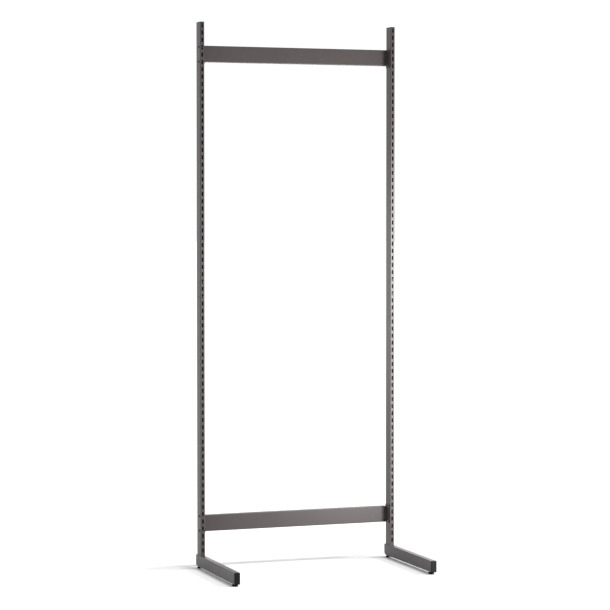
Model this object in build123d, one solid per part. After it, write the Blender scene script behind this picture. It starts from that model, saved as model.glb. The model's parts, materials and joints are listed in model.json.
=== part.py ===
from build123d import *
import os

# Free-standing starter frame for shop shelving: two slotted uprights, two back rails and two forward feet.
# Millimetres. X runs along the rails, the feet point to -Y, Z is up, and the floor is at Z = 0.

# Driving dimensions
BAY = 900.0  # upright centre to upright centre
TOTAL_HEIGHT = 2405.0
SLOT_PITCH = 32.0
SLOT_COUNT = 73

# Uprights: rectangular tube, narrow side to the front
UPRIGHT_WIDTH = 20.0
UPRIGHT_DEPTH = 54.0
UPRIGHT_WALL = 1.5
UPRIGHT_CORNER = 2.5
SLOT_WIDTH = 7.0
SLOT_HEIGHT = 19.0
SLOT_CORNER = 1.5
TOP_CAP = 2.0
CAP_REACH = 15.0  # how far a plastic end cap goes into its tube

# Feet: flat rectangular boxes that the uprights drop into
FLOOR_GAP = 10.0
FOOT_WIDTH = 25.0
FOOT_HEIGHT = 50.0
FOOT_WALL = 2.0
FOOT_FRONT = 476.0  # reach in front of the upright's front face, cap included
FOOT_REAR = 65.0  # reach behind the upright's front face
FOOT_CAP = 5.0
HEEL_BOTTOM_RADIUS = 15.0
HEEL_TOP_RADIUS = 3.0
FOOT_EDGE_RADIUS = 1.5
SOCKET_CLEARANCE = 0.3
SOCKET_PLATE = 3.0

# Threaded block welded in the upright's bottom end. It stands a little proud, on the foot's floor.
BASE_BLOCK_HEIGHT = 14.0
BASE_BLOCK_PROUD = 1.0
BASE_BLOCK_REAR = 49.0  # its rear face behind the upright's front face

# Rails: rectangular tube welded to an end plate at each end
RAIL_HEIGHT = 72.0
RAIL_DEPTH = 30.0
RAIL_WALL = 2.0
RAIL_CORNER = 3.0
RAIL_SETBACK = 51.0  # rail front behind the upright's front face
RAIL_INSET = 101.0  # rail edge from the frame's top, and from the foot's top
END_PLATE = 3.0
END_PLATE_FRONT = 9.0  # end plate's front edge behind the upright's front face
EAR_EXTRA = 10.0  # how much taller than the rail the plate is, towards mid-height

# M6 bolts between the uprights and the end plates
M6 = 3.0
M6_HOLE = 3.5
M6_HEAD_RADIUS = 5.25
M6_HEAD = 3.3
M6_SOCKET = 4.0
M6_NUT = 5.0
M6_NUT_ACROSS = 10.0
BOLT_SETBACK = 20.0
BOLT_SPACING = 64.0
BOLT_LENGTH = 28.0  # ends flush with the weld nut
SPACER_RADIUS = 6.0

# M8 bolts and stems in the feet
M8 = 4.0
M8_HOLE = 4.5
M8_NUT = 6.5
M8_ACROSS = 13.0
FOOT_BOLT_SETBACK = 12.0
FOOT_BOLT_HEAD = 4.0
WASHER = 1.6
WASHER_RADIUS = 8.0
THREAD_GAP = 0.05
LOOSE_GAP = 0.2

# Levelling glides
GLIDE_RADIUS = 13.0
GLIDE_FRONT_INSET = 31.0  # from the foot's front end
GLIDE_REAR_SETBACK = 42.0  # from the upright's front face
PAD_TOP = 6.5
STEM_HEAD_RADIUS = 6.5
STEM_HEAD_BOTTOM = 2.0
STEM_HEAD_TOP = 4.5
COLLAR_BOTTOM = 6.7
COLLAR_TOP = 9.4
COLLAR_ACROSS = 17.0
STEM_TOP = 38.0

# Derived places. The origin is the middle of the footprint, on the floor.
TOTAL_DEPTH = FOOT_FRONT + RAIL_SETBACK + RAIL_DEPTH
FRONT = TOTAL_DEPTH / 2 - RAIL_SETBACK - RAIL_DEPTH  # the uprights' front face
SIDES = {"left": -1, "right": 1}
FOOT_BASE = FLOOR_GAP
FOOT_TOP = FOOT_BASE + FOOT_HEIGHT
FOOT_FLOOR = FOOT_BASE + FOOT_WALL
TUBE_BASE = FOOT_FLOOR + BASE_BLOCK_PROUD
TUBE_TOP = TOTAL_HEIGHT - TOP_CAP
TOE = FRONT - FOOT_FRONT
HEEL = FRONT + FOOT_REAR
BOLT_Y = FRONT + BOLT_SETBACK
RAIL_Z = {
    "top": TOTAL_HEIGHT - RAIL_INSET - RAIL_HEIGHT / 2,
    "bottom": FOOT_TOP + RAIL_INSET + RAIL_HEIGHT / 2,
}
INWARD = {"top": -1, "bottom": 1}  # the way to mid-height
BOLT_Z = {level: RAIL_Z[level] + INWARD[level] * EAR_EXTRA / 2 for level in RAIL_Z}
MIDDLE_Z = (TOTAL_HEIGHT + FOOT_TOP) / 2
INNER_FACE = BAY / 2 - UPRIGHT_WIDTH / 2
GLIDE_Y = {"front": TOE + GLIDE_FRONT_INSET, "rear": FRONT + GLIDE_REAR_SETBACK}
FOOT_BOLT_Y = FRONT + FOOT_BOLT_SETBACK


def rounded_bar(width, depth, height, radius):
    """An upright bar with rounded vertical edges, centred on Z's axis, standing on Z = 0."""
    return extrude(RectangleRounded(width, depth, radius), height)


def rounded_tube(width, depth, height, radius, wall):
    outer = rounded_bar(width, depth, height, radius)
    return outer - rounded_bar(width - 2 * wall, depth - 2 * wall, height, max(radius - wall, 0.5))


def rod(radius, bottom, top):
    """A round bar along Z from bottom to top."""
    return Pos(0, 0, (bottom + top) / 2) * Cylinder(radius, top - bottom)


def along_x(shape):
    """Turns a shape that was built along +Z so that it points to +X."""
    return Rot(0, 90, 0) * shape


def hexagon(across, height):
    return extrude(RegularPolygon(across / 2, 6, major_radius=False), height)


def bolt_heights(centre):
    return [centre - BOLT_SPACING / 2, centre + BOLT_SPACING / 2]


def save(name, shapes):
    """Writes one node. A list becomes a group of separate solids."""
    shapes = shapes if isinstance(shapes, list) else [shapes]
    solids = [solid for shape in shapes for solid in shape.solids()]
    export_step(solids[0] if len(solids) == 1 else Compound(children=solids), f"parts/{name}.step")


def make_upright(side):
    x = side * BAY / 2
    y = FRONT + UPRIGHT_DEPTH / 2
    tube = rounded_tube(UPRIGHT_WIDTH, UPRIGHT_DEPTH, TUBE_TOP - TUBE_BASE, UPRIGHT_CORNER, UPRIGHT_WALL)
    tube = Pos(x, y, TUBE_BASE) * tube
    slot = Box(SLOT_WIDTH, 4 * UPRIGHT_WALL, SLOT_HEIGHT)
    slot = fillet(slot.edges().filter_by(Axis.Y), SLOT_CORNER)
    first_slot = TOTAL_HEIGHT - SLOT_PITCH / 2
    slots = [Pos(x, FRONT, first_slot - k * SLOT_PITCH) * slot for k in range(SLOT_COUNT)]
    hole = Rot(0, 90, 0) * Cylinder(M6_HOLE, 2 * UPRIGHT_WIDTH)
    centres = [BOLT_Z["top"], MIDDLE_Z, BOLT_Z["bottom"]]
    holes = [Pos(x, BOLT_Y, z) * hole for centre in centres for z in bolt_heights(centre)]
    return tube - slots - holes


def make_end_insert(width, depth, wall, corner, flange, edge_radius):
    """A plastic plug for a tube's end: a flange on top, and below it a hollow body with three gripping ribs."""
    inside = 2 * wall
    head = rounded_bar(width, depth, flange, corner)
    head = fillet(head.faces().sort_by(Axis.Z)[-1].edges(), edge_radius)
    body = rounded_tube(width - inside - 1.0, depth - inside - 1.0, CAP_REACH, 1.0, 1.6)
    rib = rounded_tube(width - inside - 0.1, depth - inside - 0.1, 1.2, 1.0, 2.0)
    ribs = [Pos(0, 0, CAP_REACH * share) * rib for share in (0.15, 0.45, 0.75)]
    return head + Pos(0, 0, -CAP_REACH) * (body + ribs)


def make_upright_cap(side):
    cap = make_end_insert(UPRIGHT_WIDTH, UPRIGHT_DEPTH, UPRIGHT_WALL, UPRIGHT_CORNER, TOP_CAP, 1.2)
    return Pos(side * BAY / 2, FRONT + UPRIGHT_DEPTH / 2, TUBE_TOP) * cap


def make_base_block(side):
    """Takes the foot bolt in its front hole and the rear glide in the other."""
    depth = BASE_BLOCK_REAR - UPRIGHT_WALL
    middle = FRONT + UPRIGHT_WALL + depth / 2
    radius = UPRIGHT_CORNER - UPRIGHT_WALL
    block = rounded_bar(UPRIGHT_WIDTH - 2 * UPRIGHT_WALL, depth, BASE_BLOCK_HEIGHT, radius)
    for y in (FOOT_BOLT_Y, GLIDE_Y["rear"]):
        block -= Pos(0, y - middle, 0) * rod(M8 + THREAD_GAP, -1, BASE_BLOCK_HEIGHT + 1)
    return Pos(side * BAY / 2, middle, FOOT_FLOOR) * block


def foot_profile(inset):
    """The foot's side outline, or the cavity's when inset by the wall. The heel's lower corner is well rounded."""
    front = TOE + FOOT_CAP
    rear = HEEL - inset
    bottom = FOOT_BASE + inset
    top = FOOT_TOP - inset
    low = HEEL_BOTTOM_RADIUS - inset
    high = HEEL_TOP_RADIUS - inset
    outline = FilletPolyline((front, top), (rear, top), (rear, bottom), (front, bottom), radius=[high, low])
    outline += Line((front, bottom), (front, top))
    return make_face(Plane.YZ * outline)


def foot_cavity():
    return extrude(foot_profile(FOOT_WALL), FOOT_WIDTH / 2 - FOOT_WALL, both=True)


def make_foot(side):
    shell = extrude(foot_profile(0), FOOT_WIDTH / 2, both=True)
    toe_face = shell.faces().sort_by(Axis.Y)[0]
    rims = shell.faces().filter_by(Axis.X).edges() - toe_face.edges()
    shell = fillet(rims, FOOT_EDGE_RADIUS) - foot_cavity()
    mouth = rounded_bar(
        UPRIGHT_WIDTH + 2 * SOCKET_CLEARANCE,
        UPRIGHT_DEPTH + 2 * SOCKET_CLEARANCE,
        4 * FOOT_WALL,
        UPRIGHT_CORNER + SOCKET_CLEARANCE,
    )
    shell -= Pos(0, FRONT + UPRIGHT_DEPTH / 2, FOOT_TOP - 2 * FOOT_WALL) * mouth
    for y in (FOOT_BOLT_Y, *GLIDE_Y.values()):
        shell -= Pos(0, y, 0) * rod(M8_HOLE, FOOT_BASE - 1, FOOT_FLOOR + 1)
    return Pos(side * BAY / 2, 0, 0) * shell


def make_socket_plates(side):
    """Two plates welded across the inside of the foot, just before and just behind the upright."""
    plate = Box(FOOT_WIDTH, SOCKET_PLATE, FOOT_HEIGHT)
    z = FOOT_BASE + FOOT_HEIGHT / 2
    reach = SOCKET_CLEARANCE + SOCKET_PLATE / 2
    places = (FRONT - reach, FRONT + UPRIGHT_DEPTH + reach)
    plates = [foot_cavity() & (Pos(0, y, z) * plate) for y in places]
    return [Pos(side * BAY / 2, 0, 0) * plate for plate in plates]


def make_foot_cap(side):
    cap = make_end_insert(FOOT_WIDTH, FOOT_HEIGHT, FOOT_WALL, 2.0, FOOT_CAP, 1.8)
    cap = Rot(90, 0, 0) * cap
    return Pos(side * BAY / 2, TOE + FOOT_CAP, FOOT_BASE + FOOT_HEIGHT / 2) * cap


def make_foot_bolt(side):
    """Hexagon-head bolt from below, with its washer, into the upright's base block."""
    place = Pos(side * BAY / 2, FOOT_BOLT_Y, 0)
    under = FOOT_BASE - WASHER
    bolt = Pos(0, 0, under - FOOT_BOLT_HEAD) * hexagon(M8_ACROSS, FOOT_BOLT_HEAD)
    bolt += rod(M8, under, FOOT_FLOOR + BASE_BLOCK_HEIGHT)
    washer = rod(WASHER_RADIUS, under, FOOT_BASE) - rod(M8 + LOOSE_GAP, under - 1, FOOT_BASE + 1)
    return place * bolt, place * washer


def make_glide_nut(side):
    """Hexagon weld nut on the foot's floor above the front glide."""
    nut = Pos(0, 0, FOOT_FLOOR) * hexagon(M8_ACROSS, M8_NUT)
    nut -= rod(M8 + THREAD_GAP, FOOT_BASE, FOOT_TOP)
    return Pos(side * BAY / 2, GLIDE_Y["front"], 0) * nut


def make_rail(level):
    """A rail from end plate to end plate."""
    length = 2 * (INNER_FACE - END_PLATE)
    tube = along_x(rounded_tube(RAIL_HEIGHT, RAIL_DEPTH, length, RAIL_CORNER, RAIL_WALL))
    return Pos(-length / 2, FRONT + RAIL_SETBACK + RAIL_DEPTH / 2, RAIL_Z[level]) * tube


def make_end_plate(side, level):
    """The plate on the rail's end. Its front part lies on the upright's inner side and takes the two bolts."""
    corner = 3.0
    front = FRONT + END_PLATE_FRONT
    step = FRONT + RAIL_SETBACK
    rear = step + RAIL_DEPTH
    ear = RectangleRounded(step - front, RAIL_HEIGHT + EAR_EXTRA, corner)
    tail = RectangleRounded(rear - front, RAIL_HEIGHT, corner)
    outline = Pos((step + front) / 2, BOLT_Z[level]) * ear + Pos((rear + front) / 2, RAIL_Z[level]) * tail
    plate = extrude(Plane.YZ * outline, END_PLATE)
    hole = Rot(0, 90, 0) * Cylinder(M6_HOLE, 4 * END_PLATE)
    plate -= [Pos(0, BOLT_Y, z) * hole for z in bolt_heights(BOLT_Z[level])]
    x = INNER_FACE - END_PLATE if side > 0 else -INNER_FACE
    return Pos(x, 0, 0) * plate


def make_rail_bolt():
    """Button-head socket bolt pointing to +X, the underside of its head at the origin."""
    head = fillet(Cylinder(M6_HEAD_RADIUS, M6_HEAD).edges().sort_by(Axis.Z)[0], 2.6)
    head = Pos(0, 0, -M6_HEAD / 2) * head
    head -= Pos(0, 0, -M6_HEAD) * hexagon(M6_SOCKET, 2.0)
    return along_x(head + rod(M6, 0, BOLT_LENGTH))


def make_rail_fixings(level):
    """The four bolts, weld nuts and tube spacers of one rail, two of each at each end."""
    inside = UPRIGHT_WIDTH - 2 * UPRIGHT_WALL
    bolt = Pos(UPRIGHT_WIDTH / -2, 0, 0) * make_rail_bolt()
    nut = hexagon(M6_NUT_ACROSS, M6_NUT) - rod(M6 + THREAD_GAP, -1, M6_NUT + 1)
    nut = Pos(UPRIGHT_WIDTH / 2 + END_PLATE, 0, 0) * along_x(nut)
    spacer = rod(SPACER_RADIUS, -inside / 2, inside / 2) - rod(M6 + LOOSE_GAP, -inside, inside)
    spacer = along_x(spacer)
    places = []
    for side in SIDES.values():
        turned = Rot(0, 0, 0 if side < 0 else 180)
        places += [Pos(side * BAY / 2, BOLT_Y, z) * turned for z in bolt_heights(BOLT_Z[level])]
    return [[place * piece for place in places] for piece in (bolt, nut, spacer)]


def make_glide(side, end):
    """One levelling glide: the pad on the floor, and the stem whose round head turns in it."""
    pad = Cylinder(GLIDE_RADIUS, PAD_TOP)
    pad = fillet(pad.edges().sort_by(Axis.Z)[-1], 1.5)
    pad = chamfer(pad.edges().sort_by(Axis.Z)[0], 0.6)
    pad = Pos(0, 0, PAD_TOP / 2) * pad
    pad -= rod(STEM_HEAD_RADIUS + THREAD_GAP, STEM_HEAD_BOTTOM - THREAD_GAP, STEM_HEAD_TOP + THREAD_GAP)
    pad -= rod(M8 + LOOSE_GAP, STEM_HEAD_TOP, PAD_TOP + 1)
    stem = rod(STEM_HEAD_RADIUS, STEM_HEAD_BOTTOM, STEM_HEAD_TOP) + rod(M8, STEM_HEAD_TOP, STEM_TOP)
    stem = chamfer(stem.edges().sort_by(Axis.Z)[-1], 0.8)
    stem += Pos(0, 0, COLLAR_BOTTOM) * hexagon(COLLAR_ACROSS, COLLAR_TOP - COLLAR_BOTTOM)
    place = Pos(side * BAY / 2, GLIDE_Y[end], 0)
    return place * pad, place * stem


def main():
    os.makedirs("parts", exist_ok=True)
    for name, side in SIDES.items():
        save(f"upright_{name}", make_upright(side))
        save(f"upright_cap_{name}", make_upright_cap(side))
        save(f"upright_base_block_{name}", make_base_block(side))
        save(f"foot_{name}", make_foot(side))
        save(f"foot_socket_plates_{name}", make_socket_plates(side))
        save(f"foot_cap_{name}", make_foot_cap(side))
        bolt, washer = make_foot_bolt(side)
        save(f"foot_bolt_{name}", bolt)
        save(f"foot_washer_{name}", washer)
        save(f"glide_nut_{name}", make_glide_nut(side))
        for level in RAIL_Z:
            save(f"{level}_rail_plate_{name}", make_end_plate(side, level))
        for end in GLIDE_Y:
            pad, stem = make_glide(side, end)
            save(f"glide_pad_{end}_{name}", pad)
            save(f"glide_stem_{end}_{name}", stem)
    for level in RAIL_Z:
        bolts, nuts, spacers = make_rail_fixings(level)
        save(f"{level}_rail", make_rail(level))
        save(f"{level}_rail_bolts", bolts)
        save(f"{level}_rail_nuts", nuts)
        save(f"{level}_rail_spacers", spacers)


main()
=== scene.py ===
import json
import math

import bmesh
import bpy
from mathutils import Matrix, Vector


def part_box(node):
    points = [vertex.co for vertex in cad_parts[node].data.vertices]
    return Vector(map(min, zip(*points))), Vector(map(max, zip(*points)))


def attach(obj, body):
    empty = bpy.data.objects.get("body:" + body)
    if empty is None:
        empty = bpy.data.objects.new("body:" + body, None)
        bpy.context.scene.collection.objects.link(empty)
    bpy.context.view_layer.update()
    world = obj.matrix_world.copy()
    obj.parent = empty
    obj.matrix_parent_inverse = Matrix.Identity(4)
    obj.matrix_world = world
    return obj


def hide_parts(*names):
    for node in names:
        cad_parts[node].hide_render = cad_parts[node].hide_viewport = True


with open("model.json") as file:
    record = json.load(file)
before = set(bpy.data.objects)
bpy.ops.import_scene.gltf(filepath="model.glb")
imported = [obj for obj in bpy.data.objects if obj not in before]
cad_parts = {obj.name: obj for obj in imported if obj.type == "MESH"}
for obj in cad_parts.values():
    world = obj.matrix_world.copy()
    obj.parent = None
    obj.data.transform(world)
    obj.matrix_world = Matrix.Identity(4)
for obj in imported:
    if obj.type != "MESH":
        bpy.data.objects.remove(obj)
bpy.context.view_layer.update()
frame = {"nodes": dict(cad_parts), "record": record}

MM = 0.001  # the scene is in metres
TURN = 2.0 * math.pi
SIDES = {"left": -1, "right": 1}
LEVELS = ("top", "bottom")
ENDS = ("front", "rear")


def add_object(name, data):
    """A new object with this data, linked into the scene."""
    item = bpy.data.objects.new(name, data)
    bpy.context.scene.collection.objects.link(item)
    return item


# ---------------------------------------------------------------- materials

# Linear colours
COAT = (0.0315, 0.0250, 0.0245)
COAT_DARK = (0.0300, 0.0238, 0.0233)
COAT_LIGHT = (0.0330, 0.0262, 0.0257)
BLACK = (0.005, 0.005, 0.005)
ZINC = (0.62, 0.63, 0.64)
BLACKENED = (0.05, 0.05, 0.052)
FLOOR_GREY = (0.55, 0.55, 0.55)

# The noise texture's value mostly stays between these two.
NOISE_LOW = 0.3
NOISE_HIGH = 0.7


def new_material(name, base, roughness, metallic=0.0):
    """A new material with a principled shader. Returns both."""
    material = bpy.data.materials.new(name)
    material.use_nodes = True
    shader = material.node_tree.nodes["Principled BSDF"]
    shader.inputs["Base Color"].default_value = (*base, 1.0)
    shader.inputs["Roughness"].default_value = roughness
    shader.inputs["Metallic"].default_value = metallic
    return material, shader


def noise(material, scale, detail=3.0):
    """Noise in the object's own coordinates. Returns the socket with its value."""
    nodes, links = material.node_tree.nodes, material.node_tree.links
    place = nodes.new("ShaderNodeTexCoord")
    texture = nodes.new("ShaderNodeTexNoise")
    texture.inputs["Scale"].default_value = scale
    texture.inputs["Detail"].default_value = detail
    links.new(place.outputs["Object"], texture.inputs["Vector"])
    return texture.outputs["Fac"]


def spread(material, value, low, high):
    """Maps a noise value to low..high."""
    node = material.node_tree.nodes.new("ShaderNodeMapRange")
    node.inputs["From Min"].default_value = NOISE_LOW
    node.inputs["From Max"].default_value = NOISE_HIGH
    node.inputs["To Min"].default_value = low
    node.inputs["To Max"].default_value = high
    material.node_tree.links.new(value, node.inputs["Value"])
    return node.outputs["Result"]


def tint(material, value, dark, light):
    """Mixes two colours by a noise value."""
    node = material.node_tree.nodes.new("ShaderNodeMix")
    node.data_type = "RGBA"
    node.inputs["A"].default_value = (*dark, 1.0)
    node.inputs["B"].default_value = (*light, 1.0)
    share = spread(material, value, 0.0, 1.0)
    material.node_tree.links.new(share, node.inputs["Factor"])
    return node.outputs["Result"]


def add_bump(material, shader, layers, strength):
    """Chains one bump for each layer of (height socket, depth)."""
    nodes, links = material.node_tree.nodes, material.node_tree.links
    normal = None
    for height, depth in layers:
        node = nodes.new("ShaderNodeBump")
        node.inputs["Strength"].default_value = strength
        node.inputs["Distance"].default_value = depth
        links.new(height, node.inputs["Height"])
        if normal:
            links.new(normal, node.inputs["Normal"])
        normal = node.outputs["Normal"]
    links.new(normal, shader.inputs["Normal"])


def powder_coat():
    """Satin dark grey coat: slight orange peel, and a little unevenness in colour and gloss."""
    material, shader = new_material("anthracite_coat", COAT, 0.4)
    shader.inputs["Specular IOR Level"].default_value = 0.3
    links = material.node_tree.links
    cloud = noise(material, 14.0, 4.0)
    links.new(tint(material, cloud, COAT_DARK, COAT_LIGHT), shader.inputs["Base Color"])
    dull = noise(material, 60.0)
    links.new(spread(material, dull, 0.37, 0.43), shader.inputs["Roughness"])
    peel = noise(material, 420.0, 1.0)
    grain = noise(material, 1500.0, 2.0)
    add_bump(material, shader, ((peel, 0.12 * MM), (grain, 0.03 * MM)), 0.35)
    return material


def moulded_plastic():
    """Black plastic with a fine eroded grain."""
    material, shader = new_material("black_plastic", BLACK, 0.6)
    shader.inputs["Specular IOR Level"].default_value = 0.1
    links = material.node_tree.links
    dull = noise(material, 200.0)
    links.new(spread(material, dull, 0.5, 0.62), shader.inputs["Roughness"])
    grain = noise(material, 1800.0)
    add_bump(material, shader, ((grain, 0.08 * MM),), 0.6)
    return material


def bare_metal(name, base, roughness):
    """Plated or blackened steel with faint cloudy patches."""
    material, shader = new_material(name, base, roughness, metallic=1.0)
    links = material.node_tree.links
    cloud = noise(material, 180.0, 4.0)
    dark = [0.86 * c for c in base]
    links.new(tint(material, cloud, dark, base), shader.inputs["Base Color"])
    dull = noise(material, 500.0)
    rough = spread(material, dull, roughness - 0.06, roughness + 0.08)
    links.new(rough, shader.inputs["Roughness"])
    grain = noise(material, 1200.0, 2.0)
    add_bump(material, shader, ((grain, 0.02 * MM),), 0.5)
    return material


MATERIALS = {
    "anthracite_coat": powder_coat(),
    "black_plastic": moulded_plastic(),
    "zinc_plated_steel": bare_metal("zinc_plated_steel", ZINC, 0.32),
    "black_steel": bare_metal("black_steel", BLACKENED, 0.42),
}


# ---------------------------------------------------------------- carried-over CAD nodes

EDGE_WIDTH = 0.25 * MM
SAME_POINT = 0.001 * MM
FLAT_ANGLE = math.radians(0.8)
SHARP_ANGLE = math.radians(40)


def soften(piece):
    """Joins coplanar triangles, rounds sharp edges a little and shades each flat face evenly."""
    weld = piece.modifiers.new("weld", "WELD")
    weld.merge_threshold = SAME_POINT
    flat = piece.modifiers.new("flat", "DECIMATE")
    flat.decimate_type = "DISSOLVE"
    flat.angle_limit = FLAT_ANGLE
    bevel = piece.modifiers.new("edges", "BEVEL")
    bevel.width = EDGE_WIDTH
    bevel.segments = 2
    bevel.limit_method = "ANGLE"
    bevel.angle_limit = SHARP_ANGLE
    bevel.harden_normals = False
    normals = piece.modifiers.new("normals", "WEIGHTED_NORMAL")
    normals.mode = "FACE_AREA"
    normals.weight = 100
    for face in piece.data.polygons:
        face.use_smooth = True


def finish_cad_nodes():
    """Gives every carried-over node its slot's material and softened edges."""
    for entry in frame["record"]["subparts"]:
        piece = frame["nodes"][entry["node"]]
        for slot in piece.material_slots:
            slot.material = MATERIALS[entry["material_slot"]]
    for piece in frame["nodes"].values():
        soften(piece)


# ---------------------------------------------------------------- new pieces


def new_piece(name, builder, slot, body):
    """Turns finished mesh data into a smooth piece with its slot's material, riding on a body."""
    mesh = bpy.data.meshes.new(name)
    bmesh.ops.recalc_face_normals(builder, faces=builder.faces)
    builder.to_mesh(mesh)
    builder.free()
    for face in mesh.polygons:
        face.use_smooth = True
    piece = add_object(name, mesh)
    mesh.materials.append(MATERIALS[slot])
    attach(piece, body)
    return piece


def close_rings(builder, rings):
    """Joins equal rings of vertices into a tube and closes both ends."""
    count = len(rings[0])
    for low, high in zip(rings, rings[1:]):
        for k in range(count):
            n = (k + 1) % count
            builder.faces.new((low[k], low[n], high[n], high[k]))
    builder.faces.new(reversed(rings[0]))
    builder.faces.new(rings[-1])


# ---------------------------------------------------------------- weld beads

BEAD_SIZE = 2.2 * MM
BEAD_RADIUS = 0.55  # as a share of the bead's size
BEAD_END_GAP = 4.0 * MM  # from the rail's upper and lower faces
BEAD_END_SIZE = 0.25  # the size starts at this share at both ends and grows from there
BEAD_END_GROWTH = 9.0
BEAD_STEPS = 96
BEAD_AROUND = 12
RIPPLE_COUNT = 22.0
RIPPLE_DEPTH = 0.10
RIPPLE_SAG = 0.35 * MM
WANDER_RATE = 31.0
WANDER_DEPTH = 0.04


def bead_radius(share):
    """The bead's uneven size, at this share of its length."""
    from_bottom = BEAD_END_GROWTH * share + BEAD_END_SIZE
    from_top = BEAD_END_GROWTH * (1.0 - share) + BEAD_END_SIZE
    taper = min(1.0, from_bottom, from_top)
    ripple = RIPPLE_DEPTH * abs(math.sin(math.pi * share * RIPPLE_COUNT))
    wander = WANDER_DEPTH * math.sin(share * WANDER_RATE)
    return BEAD_SIZE * taper * (1.0 + ripple + wander)


def weld_bead(name, corner, inward, bottom, top):
    """A rippled bead up the corner where a rail's front meets its end plate."""
    builder = bmesh.new()
    rings = []
    for i in range(BEAD_STEPS + 1):
        share = i / BEAD_STEPS
        z = bottom + (top - bottom) * share
        radius = bead_radius(share)
        ring = []
        for k in range(BEAD_AROUND):
            angle = TURN * k / BEAD_AROUND
            x = corner[0] + inward * BEAD_RADIUS * radius * math.cos(angle)
            y = corner[1] + BEAD_RADIUS * radius * math.sin(angle)
            sag = RIPPLE_SAG * math.sin(angle)
            ring.append(builder.verts.new((x, y, z + sag)))
        rings.append(ring)
    close_rings(builder, rings)
    return new_piece(name, builder, "anthracite_coat", "frame")


def make_weld_beads():
    for level in LEVELS:
        rail_low, rail_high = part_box(f"{level}_rail")
        bottom = rail_low[2] + BEAD_END_GAP
        top = rail_high[2] - BEAD_END_GAP
        for side, sign in SIDES.items():
            x = rail_high[0] if sign > 0 else rail_low[0]
            corner = (x, rail_low[1])
            weld_bead(f"{level}_rail_weld_{side}", corner, -sign, bottom, top)


# ---------------------------------------------------------------- threaded glide stems

# Heights above the stem's lower end and radii, in mm
HEAD_RINGS = ((0.0, 6.1), (0.4, 6.5), (2.1, 6.5), (2.5, 6.1), (2.5, 4.0), (4.6, 4.0))
COLLAR_RINGS = ((4.7, 8.7), (5.0, 9.6), (7.1, 9.6), (7.4, 8.7))
COLLAR_HALF_WIDTH = 8.5  # across the flats, in mm
STEM_AROUND = 36

PITCH = 1.25 * MM
STEPS_PER_PITCH = 10
ROOT_RADIUS = 3.35  # in mm
THREAD_DEPTH = 0.62  # in mm
ROOT_FLAT = 0.16  # shares of half a pitch
FLANK = 0.66
TIP_TAPER_LENGTH = 0.9 * MM
TIP_TAPER = 0.2  # share of the radius that is gone at the tip


def hexagon_radius(angle, corner_radius):
    """A hexagon's outline with its corners cut to a circle."""
    sector = math.pi / 3
    from_flat = (angle + sector / 2) % sector - sector / 2
    return min(COLLAR_HALF_WIDTH / math.cos(from_flat), corner_radius) * MM


def thread_radius(turns):
    """An M8 thread's profile over one pitch: flat crest, sloping flanks, flat root."""
    phase = abs((turns % 1.0) - 0.5) * 2.0
    share = min(1.0, max(0.0, (phase - ROOT_FLAT) / FLANK))
    return (ROOT_RADIUS + THREAD_DEPTH * share) * MM


def make_threaded_stem(node, body):
    """The glide's stem with its round head, hexagon collar and helical thread."""
    low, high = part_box(node)
    x = (low[0] + high[0]) / 2
    y = (low[1] + high[1]) / 2
    base = low[2]
    builder = bmesh.new()
    rings = []

    def add_ring(height, radius_at):
        ring = []
        for k in range(STEM_AROUND):
            angle = TURN * k / STEM_AROUND
            radius = radius_at(angle)
            place = (x + radius * math.cos(angle), y + radius * math.sin(angle), base + height)
            ring.append(builder.verts.new(place))
        rings.append(ring)

    for height, radius in HEAD_RINGS:
        add_ring(height * MM, lambda angle: radius * MM)
    for height, corner_radius in COLLAR_RINGS:
        add_ring(height * MM, lambda angle: hexagon_radius(angle, corner_radius))
    start = COLLAR_RINGS[-1][0] * MM
    length = high[2] - base - start
    steps = int(length / PITCH * STEPS_PER_PITCH)
    for i in range(steps + 1):
        height = start + length * i / steps
        below_tip = length * (1 - i / steps)
        taper = min(1.0, below_tip / TIP_TAPER_LENGTH * TIP_TAPER + (1.0 - TIP_TAPER))
        add_ring(height, lambda angle: thread_radius(height / PITCH - angle / TURN) * taper)
    close_rings(builder, rings)
    piece = new_piece(f"threaded_{node}", builder, "black_steel", body)
    for face in piece.data.polygons:
        face.use_smooth = False
    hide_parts(node)


def make_threaded_stems():
    for end in ENDS:
        for side in SIDES:
            make_threaded_stem(f"glide_stem_{end}_{side}", f"stem_{end}_{side}")


# ---------------------------------------------------------------- floor, light and camera

FLOOR_RADIUS = 80.0
WORLD_STRENGTH = 1.03
FRAME_MIDDLE = (0.0, 0.22, 1.25)

# Name, place, aim, width and height in metres, power in watts
FRAME_LAMPS = (
    ("key", (0.72, -0.9, 1.35), FRAME_MIDDLE, 0.4, 0.6, 26.0),
    ("key_tall", (0.8, -1.0, 0.95), FRAME_MIDDLE, 0.5, 1.7, 58.0),
    ("kicker", (0.05, 3.0, 1.1), FRAME_MIDDLE, 1.2, 1.2, 8.0),
    ("backdrop_glow", (3.1, 6.0, 1.3), (0.4, 0.0, 0.1), 2.4, 2.0, 27.0),
)

# Name, elevation, azimuth and apparent size in degrees, strength
FLOOR_SUNS = (
    ("sun_low", 40.0, -12.0, 12.0, 2.7),
    ("sun_high", 70.0, -45.0, 22.0, 2.8),
)

CAMERA_PLACE = (-3.4236, -9.1544, 1.6218)
CAMERA_DOWN = 2.02  # degrees below level
CAMERA_RIGHT = 20.26  # degrees clockwise from facing the frame squarely
CAMERA_LENS = 132.1
CAMERA_SHIFT = -0.041


def lamp(name, place, aim, width, height, power):
    """A rectangular lamp that the camera doesn't see."""
    light = bpy.data.lights.new(name, "AREA")
    light.shape = "RECTANGLE"
    light.size = width
    light.size_y = height
    light.energy = power
    holder = add_object(name, light)
    holder.location = place
    toward = Vector(aim) - Vector(place)
    holder.rotation_euler = toward.to_track_quat("-Z", "Y").to_euler()
    holder.visible_camera = False
    return holder


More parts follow.
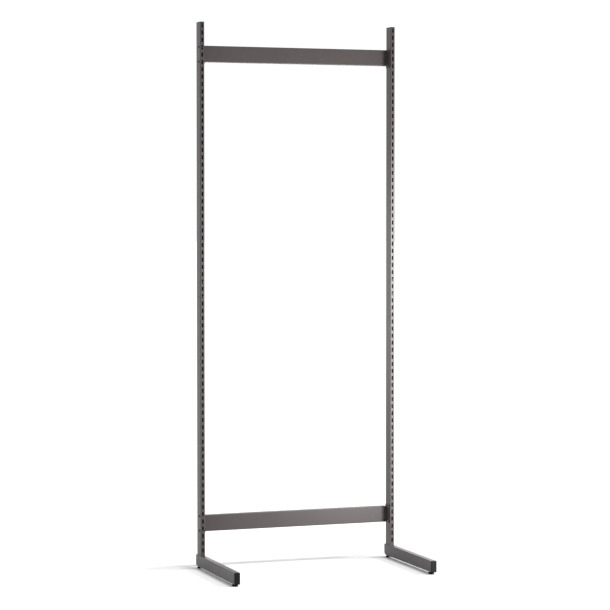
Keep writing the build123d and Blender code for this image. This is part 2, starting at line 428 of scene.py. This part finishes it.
def floor_sun(name, elevation, azimuth, size, strength):
    """A wide soft sun that gives the floor its short contact shadow."""
    light = bpy.data.lights.new(name, "SUN")
    light.energy = strength
    light.angle = math.radians(size)
    holder = add_object(name, light)
    rise = math.radians(elevation)
    turn = math.radians(azimuth)
    level = math.cos(rise)
    away = Vector((level * math.cos(turn), level * math.sin(turn), math.sin(rise)))
    holder.rotation_euler = away.to_track_quat("Z", "Y").to_euler()
    return holder


def link_floor(lamps, floor, state):
    """EXCLUDE keeps these lamps' light off the floor, INCLUDE gives it to the floor alone."""
    group = bpy.data.collections.new("floor_" + state.lower())
    group.objects.link(floor)
    group.collection_objects[0].light_linking.link_state = state
    for holder in lamps:
        holder.light_linking.receiver_collection = group


def make_floor():
    material, shader = new_material("floor_white", FLOOR_GREY, 0.7)
    shader.inputs["Specular IOR Level"].default_value = 0.2
    mesh = bpy.data.meshes.new("floor")
    builder = bmesh.new()
    bmesh.ops.create_circle(builder, cap_ends=True, segments=96, radius=FLOOR_RADIUS)
    builder.to_mesh(mesh)
    builder.free()
    mesh.materials.append(material)
    floor = add_object("floor", mesh)
    return floor


def make_world():
    """An even white world."""
    world = bpy.data.worlds.new("white")
    bpy.context.scene.world = world
    world.use_nodes = True
    background = world.node_tree.nodes["Background"]
    background.inputs["Color"].default_value = (1.0, 1.0, 1.0, 1.0)
    background.inputs["Strength"].default_value = WORLD_STRENGTH


def make_stage():
    floor = make_floor()
    make_world()
    link_floor([lamp(*entry) for entry in FRAME_LAMPS], floor, "EXCLUDE")
    link_floor([floor_sun(*entry) for entry in FLOOR_SUNS], floor, "INCLUDE")


def make_camera():
    """A long lens above half height, to the frame's left, turned right and tipped down a little."""
    camera = bpy.data.cameras.new("camera")
    camera.sensor_width = 36.0
    camera.lens = CAMERA_LENS
    camera.shift_y = CAMERA_SHIFT
    camera.clip_end = 200.0
    holder = add_object("camera", camera)
    holder.location = CAMERA_PLACE
    turn = (math.radians(90 - CAMERA_DOWN), 0.0, math.radians(-CAMERA_RIGHT))
    holder.rotation_euler = turn
    bpy.context.scene.camera = holder


finish_cad_nodes()
make_weld_beads()
make_threaded_stems()
make_stage()
make_camera()
bpy.context.scene.view_settings.view_transform = "Standard"
